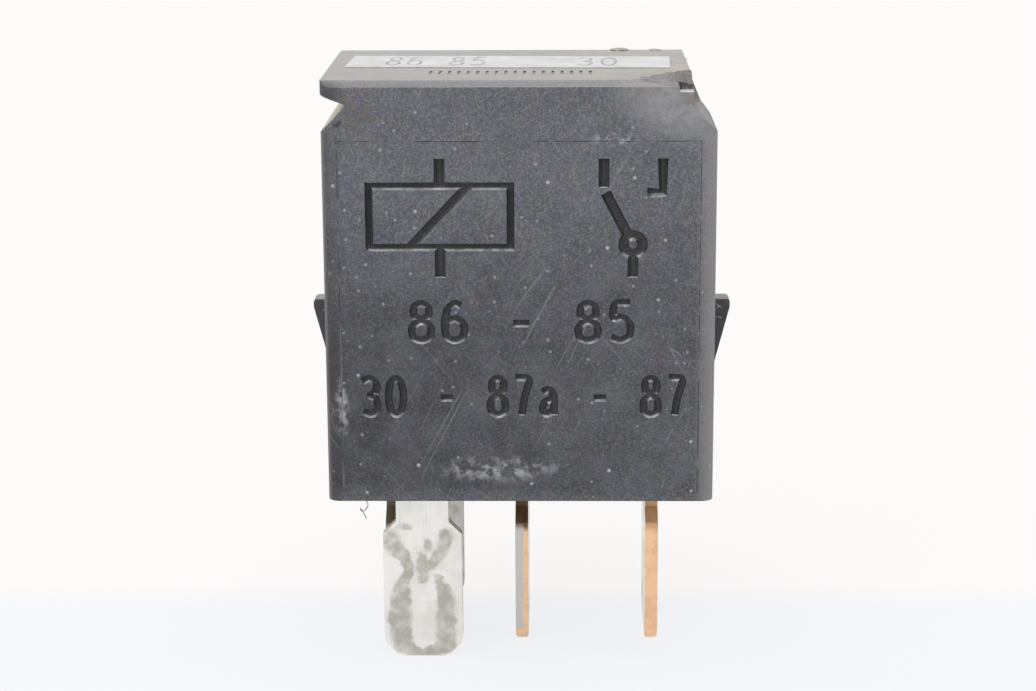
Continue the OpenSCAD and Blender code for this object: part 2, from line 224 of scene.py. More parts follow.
def tinted_grain(place, size):
    """The same noise with three different values, as a colour."""
    return add("TexNoise", {"Vector": place, "Scale": 1 / size,
                            "Detail": 4.0}).outputs["Color"]


def bump(height, depth, strength=1.0, under=None):
    """Turns a height from 0 to 1 into a bump of this depth."""
    inputs = {"Height": height, "Distance": depth * MM, "Strength": strength}
    if under is not None:
        inputs["Normal"] = under
    return add("Bump", inputs).outputs["Normal"]


def new_material(name):
    """Opens an empty material, and gives it and the place on the object in millimetres."""
    material = bpy.data.materials.new(name)
    open_tree(material)
    metres = add("TexCoord").outputs["Object"]
    return material, stretched(metres, (1 / MM, 1 / MM, 1 / MM))


def surface(colour, roughness, **more):
    """The shader of the open material, with its settings, linked to the output."""
    inputs = {"Base Color": colour, "Roughness": roughness}
    inputs.update({name.replace("_", " "): value for name, value in more.items()})
    shader = add("BsdfPrincipled", inputs)
    add("OutputMaterial", {"Surface": shader.outputs[0]})


print("helpers ready")

# %% [markdown]
# ## Floor, world and lamps
#
# A product on white needs a white that is not made by flooding the object with light.
# The world is plain white only for camera and reflection rays, and gentler for the light
# that falls on the object. The floor mixes a lit surface, which keeps the soft shadow,
# with a plain white that only the camera and reflections see.

# %% World
AMBIENT = 0.62


def seen_directly():
    """1 for what the camera sees, straight, mirrored or through glass, and 0 for light."""
    rays = add("LightPath").outputs
    return larger(rays["Is Camera Ray"], rays["Is Glossy Ray"], rays["Is Transmission Ray"])


def set_world():
    """White to look at, and AMBIENT strong as a light."""
    world = bpy.data.worlds.new("studio")
    bpy.context.scene.world = world
    open_tree(world)
    strength = ramp(seen_directly(), 0.0, 1.0, AMBIENT, 1.0)
    light = add("Background", {"Color": "fdfdfd", "Strength": strength})
    add("OutputWorld", {"Surface": light.outputs[0]})


set_world()
print("world ambient", AMBIENT)

# %% Floor
FLOOR_HALF = 600


def make_floor():
    """A pale sheet, so wide that its edges are out of sight."""
    mesh = bpy.data.meshes.new("floor")
    s = FLOOR_HALF * MM
    mesh.from_pydata([(-s, -s, 0), (s, -s, 0), (s, s, 0), (-s, s, 0)], [], [(0, 1, 2, 3)])
    floor = link("floor", mesh)
    material, place = new_material("matt_white_sheet")
    lit = add("BsdfPrincipled", {"Base Color": "f1f2f6", "Roughness": 0.9,
                                 "Specular IOR Level": 0.1})
    # Painted shadow: from under the relay forwards the white is a little cooler and darker,
    # where its soft shadow falls, and warmer behind it
    tint = mix(ramp(along(place, "Y"), 3.5, 8.0), "f7f8fb", "fdfbfa")
    white = add("Emission", {"Color": tint, "Strength": 1.0})
    fade = ramp(length(place), 18, 60, 0.88, 1.0)
    both = add("MixShader", {0: times(fade, seen_directly()), 1: lit.outputs[0],
                             2: white.outputs[0]})
    add("OutputMaterial", {"Surface": both.outputs[0]})
    mesh.materials.append(material)
    return floor


make_floor()
print("floor", 2 * FLOOR_HALF, "mm wide")


# %% Lamps
def area_lamp(name, place, size, watts):
    """A square soft lamp that faces the middle of the case."""
    data = bpy.data.lights.new(name, "AREA")
    data.size = size * MM
    data.energy = watts
    aim = Vector((0, 0, (rim + roof) / 2)) - Vector(place)
    lamp = link(name, data)
    lamp.matrix_world = shift(*place) @ aim.to_track_quat("-Z", "Y").to_matrix().to_4x4()
    return lamp


area_lamp("overhead", (-20, -50, 300), 220, 0.42)
area_lamp("front_left", (-220, -260, 200), 160, 0.28)

# %% [markdown]
# ## Copying a CAD piece
#
# The CAD mesh is exact, but it is cut into thin triangles and has knife edges. A copy is
# cleaned into flat faces, and a small bevel rounds its edges, because no moulded or
# stamped edge is perfectly sharp. The copy then stands for the CAD piece, which stays in
# the motion model for collision.


# %% Copy, bevel and dress helpers
@contextlib.contextmanager
def editing(mesh, source=None):
    """Opens a mesh for editing, or the shape of another mesh, and writes it back after."""
    work = bmesh.new()
    work.from_mesh(source or mesh)
    yield work
    work.to_mesh(mesh)
    work.free()


def smooth_by_angle(mesh, degrees):
    """Smooth shading everywhere, except across edges sharper than this."""
    with editing(mesh) as work:
        for face in work.faces:
            face.smooth = True
        for edge in work.edges:
            edge.smooth = edge.calc_face_angle(math.pi) < math.radians(degrees)


def apply_modifiers(piece):
    """Bakes the modifiers of a piece into its mesh."""
    graph = bpy.context.evaluated_depsgraph_get()
    baked = bpy.data.meshes.new_from_object(piece.evaluated_get(graph))
    piece.modifiers.clear()
    piece.data = baked


def soften(piece, width, segments=2):
    """Rounds every edge sharper than 30 degrees, then sets the shading."""
    bevel = piece.modifiers.new("edge", "BEVEL")
    bevel.width = width * MM
    bevel.segments = segments
    bevel.limit_method = "ANGLE"
    bevel.angle_limit = math.radians(30.0)
    bevel.use_clamp_overlap = True
    apply_modifiers(piece)
    smooth_by_angle(piece.data, 40.0)


def copy_of(node, bevel, segments=2):
    """A clean, bevelled copy of a CAD node's mesh."""
    mesh = bpy.data.meshes.new(node + "_detail")
    with editing(mesh, frame["nodes"][node].data) as work:
        bmesh.ops.remove_doubles(work, verts=work.verts, dist=1e-7)
        bmesh.ops.dissolve_limit(work, angle_limit=math.radians(1.0),
                                 verts=work.verts, edges=work.edges)
    piece = link(node + "_detail", mesh)
    mesh.materials.clear()
    smooth_by_angle(mesh, 40.0)
    if bevel > 0:
        soften(piece, bevel, segments)
    return piece


BODY_OF = {node: body for body, nodes in frame["record"]["behaviour"]["bodies"].items()
           for node in nodes}


def finish_piece(piece, node, material=None, ride=True):
    """Puts a piece in the place of its CAD node, on its body and with its finish."""
    if material is not None:
        piece.data.materials.clear()
        piece.data.materials.append(material)
    if ride:
        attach(piece, BODY_OF[node])
    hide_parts(node)
    print(piece.name, "faces", len(piece.data.polygons))


print("bodies:", sorted(set(BODY_OF.values())))

# %% [markdown]
# ## Black moulded case plastic
#
# The case is glass-filled PBT, a polyester that stands engine-bay heat. It is moulded in a
# spark-eroded tool, which leaves a fine matt grain. A used part carries pale dust in the
# grain, more of it on faces that look up, a dusty smear, and a brown-grey scuff where the
# lip was broken. Painted light and shade lie over these: faces that look up are painted
# paler, and the front and its corners carry painted highlights and painted shade. Each of
# these is one mask that mixes one more colour in.


# %% Masks for wear and dirt
def scratch_lines(place, size, slant, seed):
    """Thin, broken, nearly straight scratches, as a mask from 0 to 1."""
    turned_place = add("Mapping", {"Vector": place, "Rotation": (0, slant, 0),
                                   "Location": (seed, 0, 0)}).outputs[0]
    lines = grain(stretched(turned_place, (1.0, 1.0, 0.04)), size, 1.0)
    edge = calc("ABSOLUTE", calc("SUBTRACT", lines, 0.5))
    broken = ramp(grain(turned_place, 6.0, 1.0), 0.56, 0.62)
    return times(ramp(edge, 0.0, 0.006, 1.0, 0.0), broken)


def blot(place, centre, radii, inner, outer=1.1, most=1.0, slant=0.0):
    """An ellipsoid's mask: most within its inner share, and 0 from its outer share on."""
    inside = add("Mapping", {"Vector": place, "Location": centre, "Scale": radii,
                             "Rotation": (0, slant, 0)}, vector_type="TEXTURE").outputs[0]
    return ramp(length(inside), inner, outer, most, 0.0)


def specks(place, cell, size, share):
    """Round specks: one in each cell at most, and only in this share of the cells."""
    cells = add("TexVoronoi", {"Vector": place, "Scale": 1 / cell}).outputs
    pick = add("SeparateColor", {"Color": cells["Color"]}).outputs["Red"]
    return times(ramp(cells["Distance"], size * 0.45, size, 1.0, 0.0),
                 calc("LESS_THAN", pick, share))


def facing(axis, low, high):
    """1 where the surface looks along this axis of the object, and 0 where it doesn't."""
    return ramp(along(add("TexCoord").outputs["Normal"], axis), low, high)


print("masks ready")


# %% Case plastic
def clean_plastic(place, fine, cloud):
    """Colour of the moulded grain, painted lighter and darker across the front, with its
    speckle of tints and its specks of dust.
    """
    x, z = along(place, "X"), along(place, "Z")
    # Lighter towards the top, the right and the very bottom edge, darker low down and at the
    # left: partly dust, partly painted light
    lit = larger(ramp(z, rim + 8, rim + 19, 0.0, 0.85), ramp(x, -side, side, 0.0, 0.42),
                 ramp(z, rim + 0.2, rim + 1.2, 0.6, 0.0))
    colour = mix(lit, "232226", "505258")
    colour = mix(ramp(cloud, 0.40, 0.68, 0.0, 0.45), colour, "5f6067")
    grit = times(ramp(fine, 0.44, 0.74), ramp(lit, 0.0, 0.85, 0.28, 0.8))
    colour = mix(grit, colour, "8a8b91")
    colour = mix(0.25, colour, tinted_grain(place, 0.9), "SOFT_LIGHT")
    warm = times(blot(place, (-9.2, front, roof - 2.2), (2.2, 4, 2.2), 0.3, most=0.55),
                 ramp(grain(place, 0.6, 4.0), 0.42, 0.6))
    colour = mix(warm, colour, "605751")
    # Dust that sits in the grain, as specks of three sizes and strengths
    for cell, size, share, tint, most in ((1.6, 0.09, 0.5, "c4c4c4", 0.75),
                                          (0.8, 0.15, 0.45, "b0b0b4", 0.5),
                                          (0.35, 0.22, 0.14, "96969a", 0.4)):
        colour = mix(times(specks(place, cell, size, share), most), colour, tint)
    return colour


def edge_wear_and_shade(place, colour):
    """Lays painted highlight and shade on the corners and under the lip, the clean ramps, dust
    with painted sheen on what looks up, and dirt round the lip and shoulder, over a colour.
    """
    x, z = along(place, "X"), along(place, "Z")
    # Upright corners: at the right a wide cool grey band of painted highlight, where the
    # rounded corner catches light; at the left a dark strip of painted shade, and a thin warm
    # grey line of painted highlight on the very edge
    depth = calc("ABSOLUTE", along(place, "Y"))
    corner = times(ramp(depth, back - 1.0, back - 0.2), ramp(z, roof - 2.4, roof - 3.2))
    for sign, width, tint, most in ((1.0, 1.2, "969393", 0.85), (-1.0, 1.3, "1d1d20", 0.6),
                                    (-1.0, 0.25, "8f7f78", 0.6)):
        amount = ramp(times(x, sign), side - width, side - 0.05, 0.0, most)
        colour = mix(times(amount, corner), colour, tint)
    # The latch ramps, which the socket's walls kept clean
    proud = ramp(calc("ABSOLUTE", x), side + 0.02, side + 0.08, 0.0, 0.65)
    colour = mix(proud, colour, "2a2a2d")
    # A film of dust on what looks up, with painted sheen: faces that look up are painted paler,
    # creamier at the right of the roof
    dust_and_sheen = times(facing("Z", 0.50, 0.95),
                 ramp(grain(place, 0.5, 5.0), 0.35, 0.6, 0.86, 1.0))
    creamy = times(ramp(grain(place, 1.6, 3.0), 0.40, 0.58), ramp(x, 0.5, 5.0))
    colour = mix(dust_and_sheen, colour, mix(creamy, "9f9d9a", "aaa398"))
    # Painted shade on the faces that look down under the lip, and a dark grease smear at the
    # left end of the lip, where no hand wipes
    under = times(facing("Z", -0.35, -0.8), ramp(z, roof - 4, roof - 3))
    colour = mix(under, colour, "2b2730")
    grease = blot(place, (0.2 - side, front, roof - 0.7), (1.3, 1.2, 0.8), 0.4, most=0.75)
    colour = mix(grease, colour, "2f2f35")
    # Tan on the left shoulder, where the slope looks up: dust with painted sheen, and a small
    # dark spot under it
    tan = times(blot(place, (0.75 - side, 0.0, roof - 2.3), (1.0, 30, 1.1), 0.7),
                facing("Z", 0.3, 0.6),
                ramp(grain(place, 0.6, 5.0, 0.65), 0.36, 0.58, 0.45, 0.95))
    colour = mix(tan, colour, "d9cfb4")
    dark_spot = times(blot(place, (-10.45, front, roof - 2.5), (0.34, 0.5, 0.22), 0.5, slant=-0.5),
                ramp(grain(place, 0.25, 3.0), 0.35, 0.55))
    return mix(dark_spot, colour, "232422")


def marks_of_use(place, colour):
    """Lays smears, the scuff round the broken corner, rust and scratches over a colour."""
    # Dusty smear low on the front, chalky marks by the left edge and under the lip
    patchy = ramp(grain(place, 0.5, 4.0), 0.46, 0.62)
    for x, z, wide, high, most in ((-1.3, 2.0, 4.4, 0.9, 0.75), (-10.5, 5.6, 0.5, 2.3, 0.7),
                                   (5.5, 21.7, 1.6, 0.5, 0.8)):
        smear = blot(place, (x, front, rim + z), (wide, 1.0, high), 0.3, 1.0)
        colour = mix(times(smear, patchy, most), colour, "b4b4b6")
    # Brown-grey scuff round the broken corner, with a few rust-brown spots
    scuff = blot(place, (side - 2.3, front, roof - 1.4), (4.0, 6.0, 2.3), 0.35, slant=0.25)
    amount = ramp(grain(place, 0.5, 5.0, 0.7), 0.38, 0.60, 0.55, 0.92)
    colour = mix(times(scuff, amount), colour, "949293")
    rust = times(ramp(grain(place, 0.9, 2.0), 0.60, 0.70), scuff)
    for x, drop, wide, high, most in ((-9.7, 1.1, 0.35, 0.25, 1.0),
                                      (side - 1.6, 1.05, 0.5, 0.4, 1.6)):
        rust = larger(rust, blot(place, (x, front, roof - drop), (wide, 0.5, high), 0.3,
                                 most=most))
    colour = mix(times(rust, 0.3), colour, "7a5f52")
    # A few fine pale scratches in two directions
    for slant, seed in ((0.7, 3.0), (-0.5, 11.0)):
        colour = mix(times(scratch_lines(place, 1.8, slant, seed), 0.4), colour, "9a9a9e")
    return colour


def case_plastic():
    """Glass-filled PBT, black, matt from a spark-eroded mould, dusty and scuffed, with painted
    light and shade.
    """
    material, place = new_material("pbt_case_moulded_black")
    fine = grain(place, 0.11, 2.0, 0.8)
    cloud = grain(place, 2.6, 5.0, 0.6)
    colour = clean_plastic(place, fine, cloud)
    colour = edge_wear_and_shade(place, colour)
    colour = marks_of_use(place, colour)
    pits = bump(fine, 0.03, 0.7, bump(cloud, 0.05, 0.35))
    surface(colour, ramp(fine, 0.3, 0.7, 0.46, 0.62), IOR=1.55, Normal=pits)
    return material


def groove_plastic():
    """The plastic in the bottom of a groove: clean and dark, its lower lip, which looks up,
    painted paler for dust and painted highlight together.
    """
    material, place = new_material("pbt_case_groove")
    fine = grain(place, 0.17, 2.0, 0.7)
    patchy = ramp(grain(place, 0.45, 4.0), 0.38, 0.60, 0.45, 1.0)
    colour = mix(ramp(fine, 0.4, 0.7), "2a2a2c", "414143")
    # Lower lip, which looks up: dust and painted highlight, where light from above falls
    colour = mix(times(facing("Z", 0.45, 0.85), patchy), colour, "dcdce2")
    surface(colour, 0.6, IOR=1.55, Normal=bump(fine, 0.03, 0.6))
    return material


def dust_line():
    """A hair-fine step in the plastic, packed here and there with pale dust."""
    material, place = new_material("pbt_case_dust_in_step")
    packed = ramp(grain(place, 0.8, 3.0), 0.44, 0.58)
    surface(mix(packed, "4d4e55", "7e7f84"), 0.7)
    return material


def broken_plastic():
    """The same plastic where it broke: paler, rough and fibrous with glass."""
    material, place = new_material("pbt_case_broken")
    x, y, z = (along(place, axis) for axis in "XYZ")
    shreds = grain(place, 0.35, 5.0, 0.7)
    streaks = ramp(grain(stretched(place, (1.0, 0.25, 0.25)), 0.25, 3.0), 0.42, 0.62)
    wall = mix(streaks, "3b3836", "7c7672")
    floor = mix(ramp(shreds, 0.35, 0.62), "6a6666", "918d8c")
    # Painted shade: the floor is darker towards the right end of the break, where a facet lies
    # in shade
    corner = ramp(x, side - 3.1, side - 2.0, 0.0, 0.75)
    floor = mix(corner, floor, mix(streaks, "4a4442", "77706d"))
    # Faces that look up take the paler floor colour and the walls the darker, streaked one:
    # painted light and shade, besides the torn fibres
    colour = mix(facing("Z", 0.35, 0.75), wall, floor)
    # The floor of the step is painted near white, fading to half towards its back
    white_step = times(facing("Z", 0.5, 0.9), ramp(z, roof - 0.5, roof - 0.6),
                     ramp(z, roof - 0.9, roof - 0.8), ramp(x, side - 1.22, side - 1.28),
                     ramp(y, front + 0.3, front + 1.1, 1.0, 0.5),
                     ramp(shreds, 0.35, 0.55, 0.7, 1.0))
    colour = mix(white_step, colour, "dedade")
    colour = mix(times(specks(place, 0.5, 0.3, 0.2), 0.8), colour, "c9c6c0")
    surface(colour, 0.6, IOR=1.55, Normal=bump(shreds, 0.12, 0.8))
    return material


PBT_BLACK = case_plastic()
PBT_GROOVE = groove_plastic()
PBT_DUST = dust_line()
PBT_BROKEN = broken_plastic()
print("materials:", PBT_BLACK.name, PBT_GROOVE.name, PBT_DUST.name, PBT_BROKEN.name)

# %% [markdown]
# ## Breaking the lip
#
# The case is cut again where it broke. A cutter with a rough underside is laid just into
# the clean CAD break, so the fracture is crumbly and its edge ragged. The cutter brings
# the broken plastic's material with it, because a cut face takes the cutter's material.
# The roughness is seeded noise, so it comes out the same every time.

# %% Rough cutter
LIP_BREAK = 1.30
CHIP_W, CHIP_D, CHIP_SLOPE = 3.3, 4.2, 10.0
STEP_W, STEP_D, STEP_DROP = 0.9, 1.15, 0.65
SKIN = 0.02                               # least depth that a rough cut takes


def built(name, work, placement):
    """The mesh of a shape made in millimetres, turned to metres and then placed."""
    bmesh.ops.recalc_face_normals(work, faces=work.faces)
    mesh = bpy.data.meshes.new(name)
    work.to_mesh(mesh)
    work.free()
    mesh.transform(placement @ Matrix.Scale(MM, 4))
    return mesh


def rough_cutter(name, placement, size, roughness, cell, step):
    """A block whose underside is rough, and reaches down to -roughness, then placed."""
    width, depth, height = size
    columns, lines = int(width / step + 0.01), int(depth / step + 0.01)
    work = bmesh.new()
    grid = {}
    for layer in (0, 1):
        for j in range(lines + 1):
            for i in range(columns + 1):
                x, y = (i / columns - 0.5) * width, (j / lines - 0.5) * depth
                wave = noise.fractal(Vector((x, y, 0.37 * len(name))) / cell, 0.8, 2.0, 4)
                lift = -SKIN - roughness * (0.5 + 0.5 * wave)
                grid[layer, j, i] = work.verts.new((x, y, height if layer else lift))

    def face(*corners):
        work.faces.new([grid[corner] for corner in corners])

    for j in range(lines):
        for i in range(columns):
            for layer in (0, 1):
                face((layer, j, i), (layer, j, i + 1), (layer, j + 1, i + 1), (layer, j + 1, i))
        for i in (0, columns):
            face((0, j, i), (0, j + 1, i), (1, j + 1, i), (1, j, i))
    for i in range(columns):
        for j in (0, lines):
            face((0, j, i), (0, j, i + 1), (1, j, i + 1), (1, j, i))
    mesh = built(name, work, placement)
    mesh.materials.append(PBT_BROKEN)
    return link(name, mesh)


def cut(piece, cutter, operation="DIFFERENCE"):
    """Cuts one piece with another, and throws the cutter away."""
    boolean = piece.modifiers.new("cut", "BOOLEAN")
    boolean.object = cutter
    boolean.operation = operation
    boolean.solver = "MANIFOLD"
    boolean.material_mode = "TRANSFER"
    before = len(piece.data.polygons)
    apply_modifiers(piece)
    bpy.data.objects.remove(cutter)
    return len(piece.data.polygons) - before


case_piece = copy_of("cover", 0.11)
case_piece.data.materials.append(PBT_BLACK)
lip_end = side - LIP_BREAK
chip_turn = turn(math.degrees(math.atan2(CHIP_D, CHIP_W)), "Z") @ turn(CHIP_SLOPE, "X")
# Each row: name, place, size, roughness, size of the crumbs, and step of the grid
for name, placement, *rough in (
        ("chip", shift(lip_end, front + CHIP_D, roof) @ chip_turn @ shift(-3.0, -3.2, 0.0),
         (12, 8, 4), 0.17, 0.6, 0.16),
        ("step", shift(lip_end - STEP_W / 2 + 0.1, front + STEP_D, roof - STEP_DROP + 0.97)
         @ turn(90, "X"), (STEP_W + 0.3, 2, 3), 0.22, 0.5, 0.1),
        ("lip_end", shift(lip_end, 0, roof) @ turn(90, "Y"), (2.2, 17, 3), 0.16, 1.1, 0.16)):
    print(name, "faces", cut(case_piece, rough_cutter(name, placement, *rough)))

# %% [markdown]
# ## Markings in the front
#
# A relay's front carries recessed markings. This one gets a plain circuit of a coil and a
# changeover contact, and the usual terminal numbers in two rows. Each stroke is a round
# tube laid on the face and cut away, which leaves a rounded groove like one from an
# engraved mould.

# %% Strokes of the numbers
# Each digit is a list of strokes, in shares of its width and height
DIGITS = {
    "0": [[(0.5, 1.0), (0.12, 0.86), (0.0, 0.5), (0.12, 0.14), (0.5, 0.0), (0.88, 0.14),
           (1.0, 0.5), (0.88, 0.86), (0.5, 1.0)]],
    "3": [[(0.0, 0.9), (0.45, 1.0), (0.92, 0.84), (0.84, 0.6), (0.4, 0.53), (0.88, 0.44),
           (1.0, 0.22), (0.6, 0.0), (0.0, 0.1)]],
    "5": [[(0.92, 1.0), (0.12, 1.0), (0.06, 0.56), (0.55, 0.64), (0.98, 0.42),
           (0.9, 0.12), (0.45, 0.0), (0.0, 0.1)]],
    "6": [[(0.82, 0.93), (0.5, 1.0), (0.14, 0.84), (0.0, 0.5), (0.02, 0.3)],
          [(0.5, 0.6), (0.1, 0.5), (0.0, 0.3), (0.1, 0.1), (0.5, 0.0), (0.9, 0.1),
           (1.0, 0.3), (0.9, 0.5), (0.5, 0.6)]],
    "7": [[(0.0, 1.0), (1.0, 1.0), (0.55, 0.45), (0.4, 0.0)]],
    "8": [[(0.5, 0.55), (0.12, 0.66), (0.12, 0.9), (0.5, 1.0), (0.88, 0.9), (0.88, 0.66),
           (0.5, 0.55)],
          [(0.5, 0.55), (0.0, 0.38), (0.06, 0.1), (0.5, 0.0), (0.94, 0.1),
           (1.0, 0.38), (0.5, 0.55)]],
    "a": [[(0.1, 0.62), (0.5, 0.7), (0.84, 0.56), (0.84, 0.0)],
          [(0.84, 0.4), (0.3, 0.4), (0.05, 0.2), (0.3, 0.0), (0.84, 0.14)]],
    "-": [[(0.1, 0.46), (0.9, 0.46)]],
    " ": [],
}
DIGIT_H, DIGIT_W, DIGIT_STEP = 2.3, 0.92, 1.5


def rounded(line, rounds=2):
    """The same stroke with its corners cut off, twice over, so that it reads as a curve."""
    closed = line[0] == line[-1]
    for _ in range(rounds if len(line) > 2 else 0):
        new = [] if closed else [line[0]]
        for (ax, ay), (bx, by) in zip(line, line[1:]):
            new += [(0.8 * ax + 0.2 * bx, 0.8 * ay + 0.2 * by),
                    (0.2 * ax + 0.8 * bx, 0.2 * ay + 0.8 * by)]
        line = new + [new[0] if closed else line[-1]]
    return line


def number_strokes(text, x, z, wide=1.0, high=1.0):
    """Strokes of a number centred on x, with its foot at z."""
    strokes = []
    start = x - wide * ((len(text) - 1) * DIGIT_STEP + DIGIT_W) / 2
    for place, digit in enumerate(text):
        left = start + place * DIGIT_STEP * wide
        for line in DIGITS[digit]:
            strokes.append([(left + u * DIGIT_W * wide, z + v * DIGIT_H * high)
                            for u, v in rounded(line)])
    return strokes


# %% The circuit
def circle_points(x, z, r, count=20):
    """A closed round stroke."""
    turns = [2 * math.pi * k / count for k in range(count + 1)]
    return [(x + r * math.cos(t), z + r * math.sin(t)) for t in turns]


def circuit_strokes():
    """Coil on the left and changeover contact on the right; z is above the rim."""
    coil_x, coil_z, coil_w, coil_h = -4.6, 17.2, 8.2, 3.6
    left, right = coil_x - coil_w / 2, coil_x + coil_w / 2
    low, high = coil_z - coil_h / 2, coil_z + coil_h / 2
    top, foot = 20.6, 13.6
    arm_x, throw = 6.6, 1.7
    return [[(left, low), (right, low), (right, high), (left, high), (left, low)],
            [(left + 2.4, low), (right - 2.4, high)],
            [(coil_x, high), (coil_x, top)], [(coil_x, low), (coil_x, foot)],
            [(arm_x, foot), (arm_x, 15.0)], circle_points(arm_x, 15.55, 0.55),
            [(arm_x - 0.25, 16.0), (arm_x - throw + 0.1, 18.6)],
            [(arm_x - throw, top), (arm_x - throw, 18.9)],
            [(arm_x + throw, top), (arm_x + throw, 18.6), (arm_x + throw - 0.9, 18.6)]]


# %% Cutting the strokes
def wire_mesh(name, points, radius, smooth=True):
    """A round wire through points, which is a ring where the last point is the first."""
    curve = bpy.data.curves.new(name, "CURVE")
    curve.dimensions = "3D"
    curve.bevel_depth = radius * MM
    curve.bevel_resolution = 3
    curve.resolution_u = 6
    curve.use_fill_caps = True
    closed = points[0] == points[-1]
    points = points[:-1] if closed else points
    spline = curve.splines.new("NURBS" if smooth else "POLY")
    spline.points.add(len(points) - 1)
    for point, place in zip(spline.points, points):
        point.co = (*(Vector(place) * MM), 1)
    spline.use_cyclic_u = closed
    if smooth:
        spline.order_u = 3
        spline.use_endpoint_u = True
    holder = link(name, curve)
    graph = bpy.context.evaluated_depsgraph_get()
    mesh = bpy.data.meshes.new_from_object(holder.evaluated_get(graph))
    bpy.data.objects.remove(holder)
    mesh.materials.clear()
    return mesh


def engrave(piece, lines, radius, y, material):
    """Cuts grooves along lines of x and z points, with the groove's middle at this depth."""
    for line in lines:
        mesh = wire_mesh("groove", [(x, y, rim + z) for x, z in line], radius, smooth=False)
        # The caps are joined to the wall, because a cutter has to be one closed skin
        with editing(mesh) as work:
            bmesh.ops.remove_doubles(work, verts=work.verts, dist=1e-7)
            bmesh.ops.recalc_face_normals(work, faces=work.faces)
        mesh.materials.append(material)
        cut(piece, link("groove", mesh))


CIRCUIT_R, NUMBER_R, SUNK = 0.33, 0.24, 0.05
engrave(case_piece, circuit_strokes(), CIRCUIT_R, front + SUNK, PBT_GROOVE)
for text, x, z, wide in (("86 - 85", 0.1, 9.8, 1.3), ("30 - 87a - 87", 0.2, 5.3, 1.0)):
    engrave(case_piece, number_strokes(text, x, z, wide), NUMBER_R, front + SUNK, PBT_GROOVE)
print("case after the markings:", len(case_piece.data.polygons), "faces")

# %% Witness lines of the mould insert
insert_x, insert_z = 10.5, roof - rim - 3.5
insert_edge = [(-insert_x, 0.5), (-insert_x, insert_z), (insert_x, insert_z), (insert_x, 0.5)]
for face_y in (front, back):
    engrave(case_piece, [insert_edge], 0.035, face_y, PBT_DUST)
print("witness lines cut")

# %% [markdown]
# ## Ticks in the roof and the gate mark
#
# Moulders put small marks where they don't show. A row of shallow ticks is sunk into the
# roof in front of the label, and at the back edge stands the low stub where the plastic
# was let into the mould and twisted off.

# %% Ticks and gate stub
TICKS, TICK_STEP, TICK_LENGTH, TICK_R = 18, 0.55, 1.5, 0.09
TICK_X, TICK_Y = -5.2, front + 2.9        # left end of the row, and its front edge


def roof_tick(x):
    """One short round-bottomed groove along Y in the roof."""
    work = bmesh.new()
    bmesh.ops.create_cone(work, cap_ends=True, segments=10, radius1=TICK_R,
                          radius2=TICK_R, depth=TICK_LENGTH)
    return built("tick", work, shift(x, TICK_Y + TICK_LENGTH / 2, roof) @ turn(90, "X"))


def gate_stub(x, wide, high):
    """A low rough lump on the roof's back edge."""
    work = bmesh.new()
    bmesh.ops.create_icosphere(work, subdivisions=3, radius=1.0)
    for vertex in work.verts:
        lumpy = vertex.co * (1 + 0.18 * noise.noise(vertex.co * 2.3))
        vertex.co = lumpy * Vector((wide, 0.5, high))
    return built("gate", work, shift(x, back - 0.75, roof))


lumps = [(roof_tick(TICK_X + k * TICK_STEP), "DIFFERENCE") for k in range(TICKS)]
lumps += [(gate_stub(6.1, 0.6, 0.16), "UNION"), (gate_stub(8.35, 0.4, 0.08), "UNION")]
for mesh, operation in lumps:
    mesh.materials.append(PBT_BLACK)
    cut(case_piece, link("lump", mesh), operation)
smooth_by_angle(case_piece.data, 32.0)
finish_piece(case_piece, "cover")

# %% [markdown]
# ## The label
#
# A thin white polyester film, printed in grey and dulled by handling. The print is plain
# numbers. They are flat strips of ink a hundredth of a millimetre high, which is close to
# what screen printing leaves.


# %% Label film and ink
def label_film():
    """White polyester film: smooth, a little yellowed and dusty."""
    material, place = new_material("polyester_label_white")
    cloud = grain(place, 2.4, 4.0)
    colour = mix(ramp(cloud, 0.35, 0.65), "d2d2d3", "bfbfc0")
    colour = mix(times(specks(place, 0.7, 0.14, 0.3), 0.7), colour, "8d8b87")
    wipe = ramp(grain(place, 0.8, 3.0), 0.52, 0.7)
    colour = mix(times(wipe, 0.35), colour, "a19f99")
    surface(colour, 0.42, IOR=1.57, Normal=bump(cloud, 0.01, 0.4))
    return material


def print_ink():
    """Grey screen ink, half rubbed off."""
    material, place = new_material("screen_ink_grey")
    surface(mix(ramp(grain(place, 0.4, 3.0), 0.4, 0.62), "8b8a92", "bbbac0"), 0.55)
    return material


LABEL_TURN = -2.0                         # degrees
INK_W, INK_T = 0.16, 0.01
label_low, label_high = box_mm("top_label")
label_middle = (label_low + label_high) / 2


def ink_strip(line, thick):
    """A flat ribbon of ink along points on the label, counted from its middle."""
    closed = line[0] == line[-1]
    points = [Vector(p) for p in (line[:-1] if closed else line)]
    count = len(points)
    work = bmesh.new()
    rows = []
    for k, point in enumerate(points):
        before = points[k - 1] if closed or k > 0 else point
        after = points[(k + 1) % count] if closed or k < count - 1 else point
        onward = (after - before).normalized() * INK_W / 2
        wide = Vector((-onward.y, onward.x))
        rows.append([work.verts.new((*(point + edge), height)) for edge, height in
                     ((wide, 0), (-wide, 0), (-wide, thick), (wide, thick))])
    for k in range(count if closed else count - 1):
        here, there = rows[k], rows[(k + 1) % count]
        for j in range(4):
            work.faces.new((here[j], here[(j + 1) % 4], there[(j + 1) % 4], there[j]))
    if not closed:
        work.faces.new(rows[0])
        work.faces.new(rows[-1][::-1])
    return built("ink", work, shift(label_middle.x, label_middle.y, label_high.z - INK_T / 2)
                 @ turn(LABEL_TURN, "Z"))


